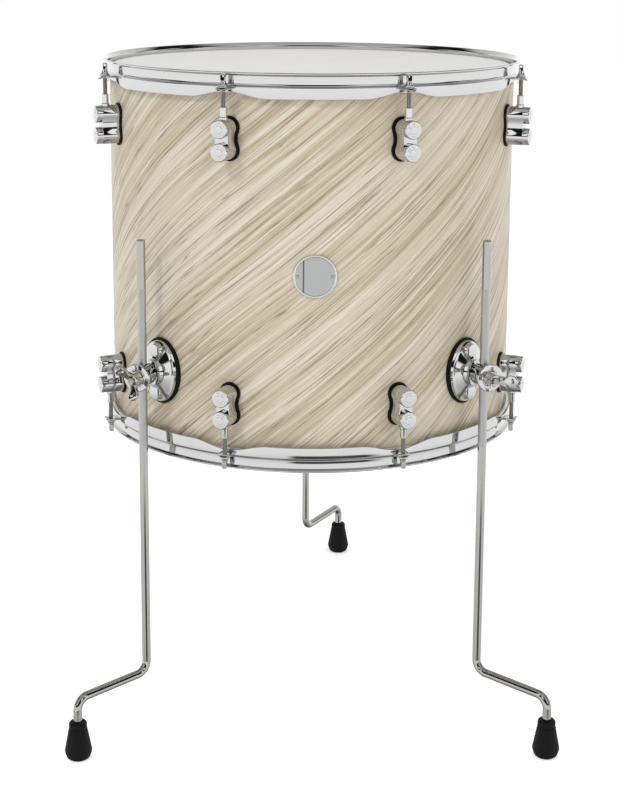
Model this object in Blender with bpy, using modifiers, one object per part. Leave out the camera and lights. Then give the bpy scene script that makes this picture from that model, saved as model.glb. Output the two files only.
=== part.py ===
"""Floor tom drum: a wrapped wooden shell, two heads under steel hoops, and three legs that slide in clamps.

Metres, +Z up, feet on z = 0. The front of the drum, with the badge, faces -Y. An azimuth is measured round the
drum's axis from the front towards +X. The drum's axis stands at (0, AXIS_Y), so that the box of the whole object
is centred on the origin.
"""

import math

import bmesh
import bpy
from mathutils import Euler, Matrix

# Shell and wrap
SHELL_OUTER_R = 0.2276
SHELL_WALL = 0.0060
SHELL_DEPTH = 0.3980
EDGE_DROP = 0.0026
EDGE_CREST = 0.0008
WRAP_INNER_R = 0.2279
WRAP_OUTER_R = 0.2286
WRAP_SETBACK = 0.0088
VENT_R = 0.0060
VENT_AZIMUTH = 135

# Heads
FILM_THICKNESS = 0.0006
FOLD_INNER_R = 0.2280
FOLD_OUTER_R = 0.2288
COLLAR_DROP = 0.0083
FLESH_HOOP_WIDTH = 0.0050
FLESH_HOOP_TOP = 0.0069
FLESH_HOOP_HEIGHT = 0.0056

# Counter hoops. A drop is measured from the crest of the lip towards the middle of the drum.
LIP_RISE = 0.0090
HOOP_WALL_R = 0.2338
HOOP_SKIRT_R = 0.2363
HOOP_LIP_R = 0.2376
HOOP_SHEET = 0.0016
LEDGE_DROP = 0.0142
SKIRT_DROP = 0.0268
SCALLOP_RISE = 0.0072
SCALLOP_HALF_ANGLE = 10.5
EAR_DROP = 0.0152
EAR_THICKNESS = 0.0022
EAR_HALF_WIDTH = 0.0075
EAR_HOLE_R = 0.0031

# Tension rods and lugs
LUG_COUNT = 8
FIRST_LUG_AZIMUTH = 22.5
ROD_CIRCLE_R = 0.2440
ROD_R = 0.00245
ROD_HEAD_WIDTH = 0.0058
ROD_HEAD_TOP = 0.0136
ROD_COLLAR_R = 0.0046
ROD_COLLAR_TOP = 0.0042
ROD_LENGTH = 0.0468
WASHER_ROOM = 0.0011
TURRET_DROP = 0.0567
TURRET_SPACING = 0.0233
LUG_LOBE_R = 0.0096
LUG_WAIST = 0.0074
LUG_BASE = 0.2309
LUG_BODY_END = 0.2495
TURRET_R = 0.0094
TURRET_END = 0.2562
LUG_BORE_R = 0.0033

# Legs and feet
BASE_HEIGHT = 0.3120
LEG_NAMES = {"left": -45, "right": 45, "rear": 180}
LEG_CIRCLE_R = 0.2570
LEG_R = 0.00475
LEG_TOP = 0.5490
LEG_RUN_HEIGHT = 0.0665
LEG_RUN = 0.0960
LEG_BEND_R = 0.0130
LEG_END = 0.0180
REAR_LEG_TURN = -30
FOOT_TOP = 0.0415
FOOT_TOP_R = 0.0095
FOOT_BASE_R = 0.0145
FOOT_BASE_LOW = 0.0072
FOOT_BASE_HIGH = 0.0096
FOOT_SOLE_R = 0.0098

# Leg clamps, in a frame with x out from the drum's axis and z up from the clamp's centre
CLAMP_HEIGHT = 0.4030
CLAMP_TURNS = {"left": 24, "right": -24, "rear": -24}
DISH_BACK = 0.2322
DISH_R = 0.0340
DISH_WIDTH = 0.76
BOSS_R = 0.0135
BOSS_END = 0.2450
SEAT_R = 0.0055
SEAT_END = 0.2481
SCREW_BOSS_R = 0.0080
SCREW_BOSS_HEIGHT = 0.0225
EYE_R = 0.0086
EYE_HALF_HEIGHT = 0.0045
STUD_R = 0.0035
STUD_END = 0.0286
CUP_R = 0.0132
CUP_BACK = -0.0068
CUP_CAVITY_R = 0.0102
CUP_CAVITY_END = 0.0096
CUP_FLANGE_R = 0.0150
CUP_FLANGE_START = 0.0125
CUP_END = 0.0152
LEG_CLEARANCE = 0.0004
NUT_START = 0.0155
NUT_HUB_R = 0.0064
NUT_HUB_END = 0.0262
WING_SWEEP = 50
WING_LENGTH = 0.0285
WING_THICKNESS = 0.0032
WING_ANGLES = {"left": 120, "right": 4, "rear": 25}

# Badge
BADGE_R = 0.0225
BADGE_THICKNESS = 0.0014
BADGE_RIM = 0.0006
FIT_GAP = 0.0003

ROUND_STEPS = 48
FRONT_REACH = (LEG_CIRCLE_R + LEG_RUN) * math.cos(math.radians(45)) + FOOT_BASE_R
REAR_REACH = LEG_CIRCLE_R + LEG_RUN * math.cos(math.radians(REAR_LEG_TURN)) + FOOT_BASE_R
AXIS_Y = (FRONT_REACH - REAR_REACH) / 2
LOW_EDGE = BASE_HEIGHT + LIP_RISE
HIGH_EDGE = LOW_EDGE + SHELL_DEPTH
LOW_LIP = BASE_HEIGHT
HIGH_LIP = HIGH_EDGE + LIP_RISE
DRUM_MIDDLE = (LOW_EDGE + HIGH_EDGE) / 2


# Scene helpers


def clear_scene():
    for obj in list(bpy.data.objects):
        bpy.data.objects.remove(obj, do_unlink=True)


def make_collection(name, helper=False):
    collection = bpy.data.collections.new(name)
    bpy.context.scene.collection.children.link(collection)
    collection.hide_render = helper
    return collection


def make_material(name, colour, roughness, metallic=0.0):
    material = bpy.data.materials.new(name)
    material.use_nodes = True
    shader = material.node_tree.nodes["Principled BSDF"]
    shader.inputs["Base Color"].default_value = (*colour, 1.0)
    shader.inputs["Roughness"].default_value = roughness
    shader.inputs["Metallic"].default_value = metallic
    return material


def add_object(name, mesh, material, matrix=None):
    obj = bpy.data.objects.new(name, mesh)
    if not mesh.materials:
        mesh.materials.append(material)
    PARTS.objects.link(obj)
    obj.matrix_world = matrix or Matrix()
    return obj


def shade(mesh, angle=30):
    mesh.shade_smooth()
    mesh.set_sharp_from_angle(angle=math.radians(angle))
    return mesh


def at_azimuth(azimuth, z=0.0, flip=False):
    """The frame whose x axis points out from the drum's axis at this azimuth. flip turns it over about x."""
    turn = Euler((math.pi if flip else 0.0, 0.0, math.radians(azimuth - 90))).to_matrix().to_4x4()
    return Matrix.Translation((0.0, AXIS_Y, z)) @ turn


def along_x(distance=0.0, y=0.0, z=0.0, turn=0.0):
    """Takes local Z, the axis of a turned or drawn shape, to the frame's X, turned about Z by some degrees."""
    place = Matrix.Translation((distance, y, z)) @ Matrix.Rotation(math.radians(turn), 4, "Z")
    return place @ Matrix.Rotation(math.radians(90), 4, "Y")


# Shape helpers


def evaluated_mesh(obj):
    """The mesh that the object's modifiers make, with its caps welded, after which the object is removed."""
    graph = bpy.context.evaluated_depsgraph_get()
    mesh = bpy.data.meshes.new_from_object(obj.evaluated_get(graph))
    mesh.transform(obj.matrix_world)
    bpy.data.objects.remove(obj, do_unlink=True)
    work = bmesh.new()
    work.from_mesh(mesh)
    bmesh.ops.remove_doubles(work, verts=work.verts, dist=1e-6)
    bmesh.ops.recalc_face_normals(work, faces=work.faces)
    work.to_mesh(mesh)
    work.free()
    return mesh


def helper_object(mesh, matrix=None):
    obj = bpy.data.objects.new("helper", mesh)
    HELPERS.objects.link(obj)
    obj.matrix_world = matrix or Matrix()
    bpy.context.view_layer.update()
    return obj


def turned(profile, closed=True, steps=ROUND_STEPS, matrix=None):
    """A mesh turned about Z from (radius, height) points that run down the outer side, top to bottom."""
    mesh = bpy.data.meshes.new("profile")
    edges = [(i, i + 1) for i in range(len(profile) - 1)]
    if closed:
        edges.append((len(profile) - 1, 0))
    mesh.from_pydata([(r, 0.0, z) for r, z in profile], edges, [])
    obj = helper_object(mesh, matrix)
    screw = obj.modifiers.new("Turn", "SCREW")
    screw.steps = screw.render_steps = steps
    screw.use_merge_vertices = True
    screw.merge_threshold = 1e-6
    return evaluated_mesh(obj)


def outline_solid(points, thickness, matrix=None):
    """A flat outline in XY, drawn out along Z from 0 to the thickness."""
    curve = bpy.data.curves.new("outline", "CURVE")
    curve.dimensions = "2D"
    curve.fill_mode = "BOTH"
    curve.extrude = thickness / 2
    spline = curve.splines.new("POLY")
    spline.points.add(len(points) - 1)
    for point, (x, y) in zip(spline.points, points):
        point.co = (x, y, 0.0, 1.0)
    spline.use_cyclic_u = True
    lift = Matrix.Translation((0.0, 0.0, thickness / 2))
    return evaluated_mesh(helper_object(curve, (matrix or Matrix()) @ lift))


def cylinder(radius, start, end, steps=24, matrix=None, end_radius=None):
    """A capped cylinder or cone along Z."""
    work = bmesh.new()
    middle = Matrix.Translation((0.0, 0.0, (start + end) / 2))
    bmesh.ops.create_cone(
        work,
        cap_ends=True,
        segments=steps,
        radius1=radius,
        radius2=radius if end_radius is None else end_radius,
        depth=end - start,
        matrix=(matrix or Matrix()) @ middle,
    )
    mesh = bpy.data.meshes.new("cylinder")
    work.to_mesh(mesh)
    work.free()
    return mesh


def block(size, matrix):
    work = bmesh.new()
    bmesh.ops.create_cube(work, size=1.0, matrix=matrix @ Matrix.Diagonal((*size, 1.0)))
    mesh = bpy.data.meshes.new("block")
    work.to_mesh(mesh)
    work.free()
    return mesh


def cut_or_join(base, *steps):
    """Applies Booleans to a mesh. Each step is ("UNION" or "DIFFERENCE", other mesh)."""
    obj = helper_object(base)
    others = []
    for operation, mesh in steps:
        other = helper_object(mesh)
        other.display_type = "WIRE"
        other.hide_render = True
        modifier = obj.modifiers.new(operation.title(), "BOOLEAN")
        modifier.operation = operation
        modifier.object = other
        others.append(other)
    bpy.context.view_layer.update()
    result = evaluated_mesh(obj)
    for other in others:
        bpy.data.objects.remove(other, do_unlink=True)
    return result


def joined_copies(mesh, matrices):
    """Copies of one mesh, side by side in one mesh."""
    work = bmesh.new()
    for matrix in matrices:
        copy = mesh.copy()
        copy.transform(matrix)
        work.from_mesh(copy)
    result = bpy.data.meshes.new("copies")
    work.to_mesh(result)
    work.free()
    return result


def arc(centre, radius, start, end, count):
    """Points of an arc in a plane, its angles in degrees."""
    angles = [math.radians(start + (end - start) * i / (count - 1)) for i in range(count)]
    return [(centre[0] + radius * math.cos(a), centre[1] + radius * math.sin(a)) for a in angles]


# The drum's sub-parts


def lug_azimuths():
    return [FIRST_LUG_AZIMUTH + 360 / LUG_COUNT * i for i in range(LUG_COUNT)]


def build_shell():
    outer, inner = SHELL_OUTER_R, SHELL_OUTER_R - SHELL_WALL
    crest = outer - EDGE_DROP
    profile = []
    for edge, inward in ((HIGH_EDGE, -1), (LOW_EDGE, 1)):
        side = [
            (inner, edge + inward * EDGE_DROP),
            (crest - EDGE_CREST, edge),
            (crest, edge),
            (outer, edge + inward * EDGE_DROP),
        ]
        profile += side if inward < 0 else side[::-1]
    mesh = turned(profile)
    mesh.transform(at_azimuth(90))
    hole = cylinder(VENT_R, 0.18, 0.26, 16, at_azimuth(VENT_AZIMUTH, DRUM_MIDDLE) @ along_x())
    add_object("shell", shade(cut_or_join(mesh, ("DIFFERENCE", hole))), MAPLE)


def build_wrap():
    top, bottom = HIGH_EDGE - WRAP_SETBACK, LOW_EDGE + WRAP_SETBACK
    profile = [(WRAP_INNER_R, top), (WRAP_OUTER_R, top), (WRAP_OUTER_R, bottom), (WRAP_INNER_R, bottom)]
    mesh = turned(profile)
    mesh.transform(at_azimuth(90))
    hole = cylinder(VENT_R, 0.18, 0.26, 16, at_azimuth(VENT_AZIMUTH, DRUM_MIDDLE) @ along_x())
    add_object("finish_wrap", shade(cut_or_join(mesh, ("DIFFERENCE", hole))), WRAP)


def build_vent():
    """A flanged bush through the vent hole, in its own frame along the hole."""
    bore, tube, flange = 0.0038, VENT_R - FIT_GAP, 0.0105
    face, back = WRAP_OUTER_R + 0.0006, SHELL_OUTER_R - SHELL_WALL - 0.0015
    profile = [
        (bore, face + 0.0018),
        (flange - 0.0020, face + 0.0018),
        (flange, face),
        (tube, face),
        (tube, back),
        (bore, back),
    ]
    mesh = turned(profile, steps=20, matrix=at_azimuth(VENT_AZIMUTH, DRUM_MIDDLE) @ along_x())
    add_object("air_vent_grommet", shade(mesh), CHROME)


def head_matrix(batter):
    """Heads and hoops are drawn with z = 0 on the bearing edge and +Z out of the drum."""
    return at_azimuth(90, HIGH_EDGE) if batter else at_azimuth(90, LOW_EDGE, flip=True)


def build_head(name, batter, film_material):
    crest = SHELL_OUTER_R - EDGE_DROP
    face = FIT_GAP + FILM_THICKNESS
    film = [
        (0.0, face),
        (crest + 0.0004, face),
        (FOLD_OUTER_R, -0.0015),
        (FOLD_OUTER_R, -COLLAR_DROP),
        (FOLD_INNER_R, -COLLAR_DROP),
        (FOLD_INNER_R, -0.0013),
        (crest + 0.0002, FIT_GAP),
        (0.0, FIT_GAP),
    ]
    mesh = turned(film, closed=False)
    mesh.transform(head_matrix(batter))
    add_object(name + "_head_film", shade(mesh), film_material)
    inner, outer = FOLD_OUTER_R + FIT_GAP, FOLD_OUTER_R + FIT_GAP + FLESH_HOOP_WIDTH
    top, bottom = -FLESH_HOOP_TOP, -FLESH_HOOP_TOP - FLESH_HOOP_HEIGHT
    mesh = turned([(inner, top), (outer, top), (outer, bottom), (inner, bottom)])
    mesh.transform(head_matrix(batter))
    add_object(name + "_flesh_hoop", shade(mesh), ALUMINIUM)


def scallop(azimuth):
    """How far the skirt's lower edge rises here: fully at an ear, and not at all between two."""
    spacing = 360 / LUG_COUNT
    away = abs((azimuth - FIRST_LUG_AZIMUTH + spacing / 2) % spacing - spacing / 2)
    if away > SCALLOP_HALF_ANGLE:
        return 0.0
    return SCALLOP_RISE * 0.5 * (1 + math.cos(math.pi * away / SCALLOP_HALF_ANGLE))


def ear_solids():
    """The eight ears, or their eight rod holes, as outlines drawn out along Z."""
    root = HOOP_SKIRT_R - HOOP_SHEET * 0.6
    outline = [(root, -EAR_HALF_WIDTH)]
    outline += arc((ROD_CIRCLE_R, 0.0), EAR_HALF_WIDTH, -90, 90, 6)
    outline.append((root, EAR_HALF_WIDTH))
    low = LIP_RISE - EAR_DROP - EAR_THICKNESS
    ear = outline_solid(outline, EAR_THICKNESS, Matrix.Translation((0.0, 0.0, low)))
    hole = cylinder(EAR_HOLE_R, low - 0.004, low + 0.006, 6, Matrix.Translation((ROD_CIRCLE_R, 0.0, 0.0)))
    turns = [Matrix.Rotation(math.radians(a - 90), 4, "Z") for a in lug_azimuths()]
    return joined_copies(ear, turns), joined_copies(hole, turns)


def build_hoop(name, batter):
    wall, skirt, sheet = HOOP_WALL_R, HOOP_SKIRT_R, HOOP_SHEET
    section = [
        (wall - sheet, 0.0040),
        (HOOP_LIP_R - 0.0016, 0.0),
        (HOOP_LIP_R, 0.0009),
        (wall, 0.0047),
        (wall, LEDGE_DROP - 0.0014),
        (skirt, LEDGE_DROP),
        (skirt, SKIRT_DROP),
        (skirt - sheet, SKIRT_DROP),
        (skirt - sheet, LEDGE_DROP + 0.0014),
        (wall - sheet, LEDGE_DROP),
    ]
    ring = turned([(r, LIP_RISE - drop) for r, drop in section])
    for vertex in ring.vertices:
        if vertex.co.z < LIP_RISE - SKIRT_DROP + 1e-5:
            vertex.co.z += scallop(math.degrees(math.atan2(vertex.co.y, vertex.co.x)) + 90)
    ears, holes = ear_solids()
    mesh = cut_or_join(ring, ("UNION", ears), ("DIFFERENCE", holes))
    mesh.transform(head_matrix(batter))
    add_object(name, shade(mesh), CHROME)


def lug_outline():
    """A figure of eight with a smooth waist, in a plane whose x is the lug's height and y its width."""
    half, lobe, waist = TURRET_SPACING / 2, LUG_LOBE_R, LUG_WAIST
    fillet = (waist**2 + half**2 - lobe**2) / (2 * (lobe - waist))
    reach = math.degrees(math.atan2(half, waist + fillet))
    points = arc((half, 0.0), lobe, -90 - reach, 90 + reach, 8)
    points += arc((0.0, waist + fillet), fillet, reach - 90, -90 - reach, 3)[1:-1]
    points += arc((-half, 0.0), lobe, 90 - reach, 270 + reach, 8)
    points += arc((0.0, -waist - fillet), fillet, 90 + reach, 90 - reach, 3)[1:-1]
    return points


def lug_mesh():
    """In a frame with x out from the drum's axis and z up from the lug's middle. The rod enters at the top."""
    body = outline_solid(lug_outline(), LUG_BODY_END - LUG_BASE, along_x(LUG_BASE))
    half = TURRET_SPACING / 2
    steps = []
    for z in (half, -half):
        turret = turned(
            [
                (0.0, TURRET_END),
                (TURRET_R, TURRET_END),
                (TURRET_R, LUG_BODY_END - 0.0010),
                (0.0, LUG_BODY_END - 0.0010),
            ],
            closed=False,
            steps=12,
            matrix=along_x(0.0, 0.0, z),
        )
        steps.append(("UNION", turret))
    bore = cylinder(LUG_BORE_R, 0.0030, 0.0300, 6, Matrix.Translation((ROD_CIRCLE_R, 0.0, 0.0)))
    steps.append(("DIFFERENCE", bore))
    return shade(cut_or_join(body, *steps))


def rod_mesh():
    """In a frame with z up the rod from the top face of the hoop's ear."""
    low = WASHER_ROOM + 0.0002
    shank = cylinder(ROD_R, -ROD_LENGTH, low + 0.0010, 8)
    collar = cylinder(ROD_COLLAR_R, low, ROD_COLLAR_TOP, 8, end_radius=ROD_HEAD_WIDTH * 0.52)
    height = ROD_HEAD_TOP - ROD_COLLAR_TOP + 0.0008
    middle = Matrix.Translation((0.0, 0.0, ROD_HEAD_TOP - height / 2))
    head = block((ROD_HEAD_WIDTH, ROD_HEAD_WIDTH, height), middle)
    return shade(cut_or_join(shank, ("UNION", collar), ("UNION", head)))


def build_lugs_and_rods():
    lug, rod = lug_mesh(), rod_mesh()
    lug_drop = TURRET_DROP + TURRET_SPACING / 2
    for number, azimuth in enumerate(lug_azimuths(), 1):
        for name, flip, lip, inward in (("batter", False, HIGH_LIP, -1), ("resonant", True, LOW_LIP, 1)):
            place = at_azimuth(azimuth, lip + inward * lug_drop, flip)
            add_object(f"{name}_lug_{number}", lug, CHROME, place)
            place = at_azimuth(azimuth, lip + inward * EAR_DROP, flip)
            place = place @ Matrix.Translation((ROD_CIRCLE_R, 0.0, 0.0))
            add_object(f"{name}_rod_{number}", rod, STEEL, place)


def build_badge():
    """A thin round plate bent to the shell, with a raised rim."""
    rings = [(0.0, 0.0), (BADGE_R * 0.9, 0.0), (BADGE_R * 0.93, BADGE_RIM), (BADGE_R, BADGE_RIM)]
    rings = [(r, BADGE_THICKNESS + h) for r, h in rings] + [(BADGE_R, 0.0), (0.0, 0.0)]
    mesh = turned(rings, closed=False, steps=28)
    seat = WRAP_OUTER_R + FIT_GAP
    for vertex in mesh.vertices:
        across, up, out = vertex.co
        turn = across / seat
        vertex.co = ((seat + out) * math.cos(turn), (seat + out) * math.sin(turn), up)
    add_object("badge", shade(mesh), ALUMINIUM, at_azimuth(0, DRUM_MIDDLE))


# The legs and their clamps


def leg_route():
    """The centre line in a frame with x along the leg's run and z up: down, out along the run, and down."""
    bend, height, run = LEG_BEND_R, LEG_RUN_HEIGHT, LEG_RUN
    route = [(0.0, LEG_TOP)]
    route += arc((bend, height + bend), bend, 180, 270, 6)
    route += arc((run - bend, height - bend), bend, 90, 0, 6)
    route.append((run, LEG_END))
    return route


def leg_frame(azimuth, turn):
    """The frame on a leg's axis at floor level, its x along the leg's run."""
    place = at_azimuth(azimuth) @ Matrix.Translation((LEG_CIRCLE_R, 0.0, 0.0))
    return place @ Matrix.Rotation(math.radians(turn), 4, "Z")


def leg_mesh():
    route = leg_route()
    curve = bpy.data.curves.new("leg", "CURVE")
    curve.dimensions = "3D"
    curve.bevel_depth = LEG_R
    curve.bevel_resolution = 3
    curve.use_fill_caps = True
    spline = curve.splines.new("POLY")
    spline.points.add(len(route) - 1)
    for point, (x, z) in zip(spline.points, route):
        point.co = (x, 0.0, z, 1.0)
    return shade(evaluated_mesh(helper_object(curve)))


def foot_mesh():
    bore = LEG_R + FIT_GAP
    profile = [
        (0.0, LEG_END - FIT_GAP),
        (bore, LEG_END - FIT_GAP),
        (bore, FOOT_TOP),
        (FOOT_TOP_R - 0.0015, FOOT_TOP),
        (FOOT_TOP_R, FOOT_TOP - 0.0015),
        (FOOT_BASE_R, FOOT_BASE_HIGH),
        (FOOT_BASE_R, FOOT_BASE_LOW),
        (FOOT_SOLE_R + 0.0026, 0.0020),
        (FOOT_SOLE_R, 0.0),
        (0.0, 0.0),
    ]
    return shade(turned(profile, closed=False, steps=20))


def build_legs():
    leg, foot = leg_mesh(), foot_mesh()
    for name, azimuth in LEG_NAMES.items():
        turn = REAR_LEG_TURN if name == "rear" else 0
        frame = leg_frame(azimuth, turn)
        add_object("leg_" + name, leg, STEEL, frame)
        add_object("foot_" + name, foot, RUBBER, frame @ Matrix.Translation((LEG_RUN, 0.0, 0.0)))


def bracket_mesh():
    """The upright oval dish, its round boss with the eye's seat, and two screw bosses, in a radial frame."""
    dish = turned(
        [
            (0.0, DISH_BACK + 0.0100),
            (BOSS_R + 0.0010, DISH_BACK + 0.0092),
            (DISH_R - 0.0100, DISH_BACK + 0.0056),
            (DISH_R - 0.0030, DISH_BACK + 0.0024),
            (DISH_R, DISH_BACK + 0.0018),
            (DISH_R, DISH_BACK),
            (0.0, DISH_BACK),
        ],
        closed=False,
        steps=28,
        matrix=Matrix.Diagonal((1.0, DISH_WIDTH, 1.0, 1.0)) @ along_x(),
    )
    boss = turned(
        [
            (0.0, SEAT_END),
            (SEAT_R, SEAT_END),
            (SEAT_R, BOSS_END),
            (BOSS_R - 0.0010, BOSS_END),
            (BOSS_R, BOSS_END - 0.0010),
            (BOSS_R, DISH_BACK + 0.0010),
            (0.0, DISH_BACK + 0.0010),
        ],
        closed=False,
        steps=24,
        matrix=along_x(),
    )
    steps = [("UNION", boss)]
    for side in (1, -1):
        boss = cylinder(
            SCREW_BOSS_R,
            DISH_BACK + 0.0008,
            DISH_BACK + 0.0082,
            14,
            along_x(0.0, 0.0, side * SCREW_BOSS_HEIGHT),
        )
        steps.append(("UNION", boss))
    return shade(cut_or_join(dish, *steps))


def eyebolt_mesh():
    """An eye round the leg and a stud out of it, in a frame on the leg's axis with x along the stud."""
    bore = LEG_R + LEG_CLEARANCE
    half = EYE_HALF_HEIGHT
    eye = turned([(bore, half), (EYE_R, half), (EYE_R, -half), (bore, -half)], steps=16)
    stud = cylinder(STUD_R, (bore + EYE_R) / 2, STUD_END, 10, along_x())
    return shade(cut_or_join(eye, ("UNION", stud)))


def cup_mesh():
    """The cup that straddles the eye. It is slotted for the leg, above and below, from the back."""
    cup = turned(
        [
            (0.0, CUP_END),
            (CUP_FLANGE_R - 0.0010, CUP_END),
            (CUP_FLANGE_R, CUP_END - 0.0010),
            (CUP_FLANGE_R, CUP_FLANGE_START),
            (CUP_R, CUP_FLANGE_START - 0.0012),
            (CUP_R, CUP_BACK),
            (CUP_CAVITY_R, CUP_BACK),
            (CUP_CAVITY_R, CUP_CAVITY_END),
            (0.0, CUP_CAVITY_END),
        ],
        closed=False,
        steps=20,
        matrix=along_x(),
    )
    leg_way = cylinder(LEG_R + LEG_CLEARANCE, -0.02, 0.02, 12)
    slot = block((0.02, 2 * (LEG_R + LEG_CLEARANCE), 0.04), Matrix.Translation((-0.01, 0.0, 0.0)))
    stud_way = cylinder(STUD_R + LEG_CLEARANCE, 0.0, 0.03, 10, along_x())
    ways = [("DIFFERENCE", leg_way), ("DIFFERENCE", slot), ("DIFFERENCE", stud_way)]
    return shade(cut_or_join(cup, *ways))


def wing_outline():
    """One wing, from inside the hub over a waist to its rounded tip."""
    root, waist, tip = 0.0046, 0.0033, 0.0060
    low = [(0.0035, -root), (0.0095, -root * 0.84), (0.0150, -waist)]
    tip_arc = arc((WING_LENGTH - tip, 0.0), tip, -115, 115, 8)
    return low + tip_arc + [(x, -y) for x, y in reversed(low)]


def wing_nut_mesh():
    """Hub and two wings swept forward, in a frame with x along the stud."""
    hub = turned(
        [
            (0.0, NUT_HUB_END),
            (NUT_HUB_R - 0.0012, NUT_HUB_END),
            (NUT_HUB_R, NUT_HUB_END - 0.0012),
            (NUT_HUB_R + 0.0012, NUT_START),
            (0.0, NUT_START),
        ],
        closed=False,
        steps=12,
        matrix=along_x(),
    )
    thickness = WING_THICKNESS
    steps = []
    for side in (1, -1):
        root = Matrix.Translation((NUT_START + 0.0040, 0.0, 0.0)) @ Matrix.Rotation(
            math.radians(side * (90 - WING_SWEEP)), 4, "Z"
        )
        flat = Matrix.Rotation(math.radians(90), 4, "X") @ Matrix.Translation((0.0, 0.0, -thickness / 2))
        steps.append(("UNION", outline_solid(wing_outline(), thickness, root @ flat)))
        hole = Matrix.Translation((WING_LENGTH - 0.0058, 0.0, thickness / 2))
        hole = hole @ Matrix.Diagonal((0.62, 1.0, 1.0, 1.0))
        steps.append(("DIFFERENCE", cylinder(0.0038, -0.004, 0.004, 10, root @ flat @ hole)))
    steps.append(("DIFFERENCE", cylinder(STUD_R + LEG_CLEARANCE, 0.0, 0.05, 10, along_x())))
    return shade(cut_or_join(hub, *steps))


def build_clamps():
    bracket, eyebolt, cup, nut = bracket_mesh(), eyebolt_mesh(), cup_mesh(), wing_nut_mesh()
    for name, azimuth in LEG_NAMES.items():
        add_object("bracket_" + name, bracket, CHROME, at_azimuth(azimuth, CLAMP_HEIGHT))
        stud = at_azimuth(azimuth, CLAMP_HEIGHT) @ Matrix.Translation((LEG_CIRCLE_R, 0.0, 0.0))
        stud = stud @ Matrix.Rotation(math.radians(CLAMP_TURNS[name]), 4, "Z")
        add_object("eyebolt_" + name, eyebolt, STEEL, stud)
        add_object("clamp_cup_" + name, cup, CHROME, stud)
        wings = Matrix.Rotation(math.radians(WING_ANGLES[name]), 4, "X")
        add_object("wing_nut_" + name, nut, CHROME, stud @ wings)


clear_scene()
PARTS = make_collection("floor_tom")
HELPERS = make_collection("helpers")
MAPLE = make_material("maple_ply", (0.55, 0.36, 0.20), 0.55)
WRAP = make_material("ivory_wrap", (0.62, 0.54, 0.41), 0.30)
COATED_FILM = make_material("coated_film", (0.86, 0.85, 0.82), 0.60)
CLEAR_FILM = make_material("clear_film", (0.80, 0.82, 0.84), 0.15)
CHROME = make_material("chrome", (0.80, 0.80, 0.80), 0.08, 1.0)
STEEL = make_material("plated_steel", (0.62, 0.61, 0.60), 0.25, 1.0)
ALUMINIUM = make_material("aluminium", (0.72, 0.72, 0.73), 0.30, 1.0)
RUBBER = make_material("rubber", (0.02, 0.02, 0.02), 0.75)

build_shell()
build_wrap()
build_vent()
build_head("batter", True, COATED_FILM)
build_head("resonant", False, CLEAR_FILM)
build_hoop("batter_hoop", True)
build_hoop("resonant_hoop", False)
build_lugs_and_rods()
build_badge()
build_legs()
build_clamps()
bpy.data.collections.remove(HELPERS)
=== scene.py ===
"""The floor tom drum's looks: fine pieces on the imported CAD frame, with their materials, camera and light.

Metres, +Z up. The drum's axis is vertical. An azimuth is measured round it from the front (-Y) towards +X, in
degrees. A piece is first modelled in its own frame, as its function says, and then placed by a matrix.
"""

import math

import bmesh
import bpy
import numpy as np
from mathutils import Euler, Matrix, Vector


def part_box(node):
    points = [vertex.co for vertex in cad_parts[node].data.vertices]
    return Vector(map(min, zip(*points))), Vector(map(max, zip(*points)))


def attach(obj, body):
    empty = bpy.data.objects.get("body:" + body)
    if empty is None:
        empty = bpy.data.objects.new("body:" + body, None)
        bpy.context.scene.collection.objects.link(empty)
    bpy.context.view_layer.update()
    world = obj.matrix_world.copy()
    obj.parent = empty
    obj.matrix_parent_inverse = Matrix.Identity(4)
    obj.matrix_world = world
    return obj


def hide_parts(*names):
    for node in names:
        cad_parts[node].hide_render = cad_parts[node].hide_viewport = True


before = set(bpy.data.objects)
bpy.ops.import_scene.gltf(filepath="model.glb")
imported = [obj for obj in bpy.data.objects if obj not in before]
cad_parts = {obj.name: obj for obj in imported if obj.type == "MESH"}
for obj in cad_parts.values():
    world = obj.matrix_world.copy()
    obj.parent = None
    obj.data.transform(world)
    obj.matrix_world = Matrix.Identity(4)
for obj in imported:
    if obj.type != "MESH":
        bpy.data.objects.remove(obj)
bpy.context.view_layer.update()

# Sizes read from the frame
wrap_low, wrap_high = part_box("finish_wrap")
AXIS_X = (wrap_low.x + wrap_high.x) / 2
AXIS_Y = (wrap_low.y + wrap_high.y) / 2
WRAP_R = (wrap_high.x - wrap_low.x) / 2
SHELL_R = (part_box("shell")[1].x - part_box("shell")[0].x) / 2
LOW_EDGE, HIGH_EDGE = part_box("shell")[0].z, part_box("shell")[1].z
LOW_LIP, HIGH_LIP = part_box("resonant_hoop")[0].z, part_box("batter_hoop")[1].z
DRUM_MIDDLE = (LOW_EDGE + HIGH_EDGE) / 2
CLAMP_HEIGHT = sum(corner.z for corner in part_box("bracket_left")) / 2
LEG_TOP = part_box("leg_left")[1].z
LEG_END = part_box("leg_left")[0].z
FOOT_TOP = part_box("foot_left")[1].z

# Layout, in degrees
LUG_COUNT = 8
LUG_SPACING = 360 / LUG_COUNT
LUG_AZIMUTHS = [LUG_SPACING * (i + 0.5) for i in range(LUG_COUNT)]
LEG_AZIMUTHS = {"left": -45, "right": 45, "rear": 180}
LEG_TURNS = {"left": 0, "right": 0, "rear": -30}
CLAMP_TURNS = {"left": 24, "right": -24, "rear": -24}
WING_ANGLES = {"left": 120, "right": 4, "rear": 25}

# Mesh
ROUND = 288  # sides of the largest turned pieces
WELD = 1e-7
SHARP = 32  # degrees between two faces, over which their edge stays sharp
GAP = 0.0003  # between neighbouring pieces

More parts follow.
